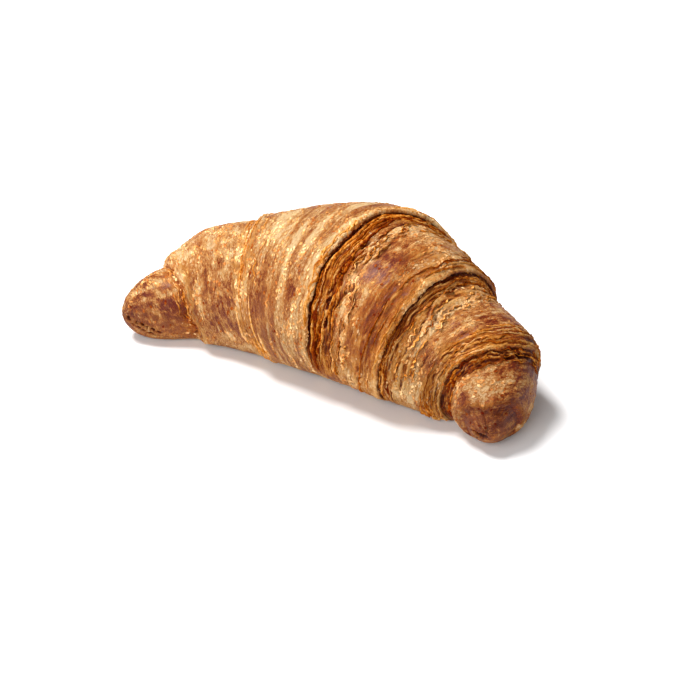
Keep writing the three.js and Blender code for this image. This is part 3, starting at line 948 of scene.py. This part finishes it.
# Each lies flat, with its length along the pull of the dough, and is then tilted up by one end.
grain_here = add(group, "GeometryNodeInputNamedAttribute", {"data_type": "FLOAT_VECTOR"}, Name="grain")
turned = add(group, "FunctionNodeAxesToRotation", {"primary_axis": "Z", "secondary_axis": "X"},
             Primary_Axis=scattered[1], Secondary_Axis=grain_here)
spin = given["Most Spin"]
back_spin = add(group, "ShaderNodeMath", "MULTIPLY", in0=spin, in1=-1.0)
for axis, least, most, seed in (((0, 0, 1), back_spin, spin, 12), ((0, 1, 0), 0.0, given["Most Tilt"], 11)):
    angle = add(group, "FunctionNodeRandomValue", in2=least, in3=most, Seed=seed).outputs[1]
    turning = add(group, "FunctionNodeAxisAngleToRotation", Axis=axis, Angle=angle)
    turned = add(group, "FunctionNodeRotateRotation", {"rotation_space": "LOCAL"}, Rotation=turned,
                 Rotate_By=turning)
chip = add(group, "GeometryNodeMeshCylinder", {"fill_type": "TRIANGLE_FAN"}, Vertices=given["Corners"],
           Radius=0.5, Depth=given["Thickness"])
xyz = add(group, "ShaderNodeSeparateXYZ", Vector=add(group, "GeometryNodeInputPosition")).outputs
bend = add(group, "ShaderNodeMath", "MULTIPLY", in0=xyz[1], in1=xyz[1])
bend = add(group, "ShaderNodeMath", "MULTIPLY", in0=bend, in1=given["Curl"])
bend = add(group, "ShaderNodeCombineXYZ", X=0.0, Y=0.0, Z=bend)
chip = add(group, "GeometryNodeSetPosition", Geometry=chip, Offset=bend)
length = add(group, "FunctionNodeRandomValue", in2=given["Least Length"], in3=given["Most Length"],
             Seed=13).outputs[1]
breadth = add(group, "ShaderNodeMath", "MULTIPLY", in0=length, in1=given["Narrowness"])
chip_size = add(group, "ShaderNodeCombineXYZ", X=length, Y=breadth, Z=length)
chips = add(group, "GeometryNodeInstanceOnPoints", Points=scattered[0], Instance=chip, Rotation=turned,
            Scale=chip_size)
shade = add(group, "FunctionNodeRandomValue", in2=-0.5, in3=0.5, Seed=14).outputs[1]
chips = add(group, "GeometryNodeStoreNamedAttribute", {"domain": "INSTANCE"}, Geometry=chips,
            Name="flake_shade", Value=shade)
end_group(group, chips, given, 1.0)

flakes = grow("crust_flakes", roll_mesh, group, FLAKE_SIZES)
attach(flakes, "root")


# ---- The studio ----
# A floor of pale paper in an even, pale room, a small soft key light high at the left, and a wide fill light
# at the front left. The camera looks down on the croissant's inner side, a little from the right.
FLOOR_HALF = 2.0  # metres
floor_mesh = bpy.data.meshes.new("floor")
corners = [(x * FLOOR_HALF, y * FLOOR_HALF, 0) for x, y in ((-1, -1), (1, -1), (1, 1), (-1, 1))]
floor_mesh.from_pydata(corners, [], [(0, 1, 2, 3)])
paper = bpy.data.materials.new("matt white paper")
paper.use_nodes = True
paper_shader = paper.node_tree.nodes["Principled BSDF"]
paper_shader.inputs["Base Color"].default_value = linear("#efeeee")
paper_shader.inputs["Roughness"].default_value = 0.9
floor_mesh.materials.append(paper)
put("floor", floor_mesh)

ROOM_LIGHT = 0.29
world = bpy.data.worlds.new("studio")
world.use_nodes = True
background = world.node_tree.nodes["Background"].inputs
background["Color"].default_value = (1, 1, 1, 1)
background["Strength"].default_value = ROOM_LIGHT
bpy.context.scene.world = world
bpy.context.scene.view_settings.view_transform = "Standard"

AZIMUTH = np.radians(21)  # of the camera, from the front towards the right
ELEVATION = np.radians(36)
CAMERA_AWAY = 0.9  # metres from its target
right_way = Vector((np.cos(AZIMUTH), np.sin(AZIMUTH), 0))
level_back = Vector((-np.sin(AZIMUTH), np.cos(AZIMUTH), 0))
camera_way = level_back * -np.cos(ELEVATION) + Vector((0, 0, np.sin(ELEVATION)))


def stand(name, data, target, way, distance):
    """Puts a lamp or a camera at a distance from a target, some way off, facing it."""
    thing = put(name, data)
    thing.location = target + way * distance
    thing.rotation_mode = "QUATERNION"
    thing.rotation_quaternion = way.to_track_quat("Z", "Y")
    return thing


# Each light's width and distance in metres, its power in watts, and how far right, back and up it stands.
LIGHTS = {
    "key": (0.45, 1.1, 19.5, (-0.34, 0.12, 0.93)),
    "fill": (1.2, 1.3, 13.0, (-0.5, -0.75, 0.5)),
}
for name, (disk_width, away, power, (right, back, up)) in LIGHTS.items():
    lamp = bpy.data.lights.new(name, "AREA")
    lamp.shape = "DISK"
    lamp.size = disk_width
    lamp.energy = power
    way = (right * right_way + back * level_back + Vector((0, 0, up))).normalized()
    stand(name, lamp, Vector((0, 0, 0)), way, away)

lens = bpy.data.cameras.new("camera")
lens.sensor_width = 36
lens.lens = 128.6  # mm
target = Vector((12.0 + shift[0], -27.5 + shift[1], 22.0)) * MM
bpy.context.scene.camera = stand("camera", lens, target, camera_way, CAMERA_AWAY)
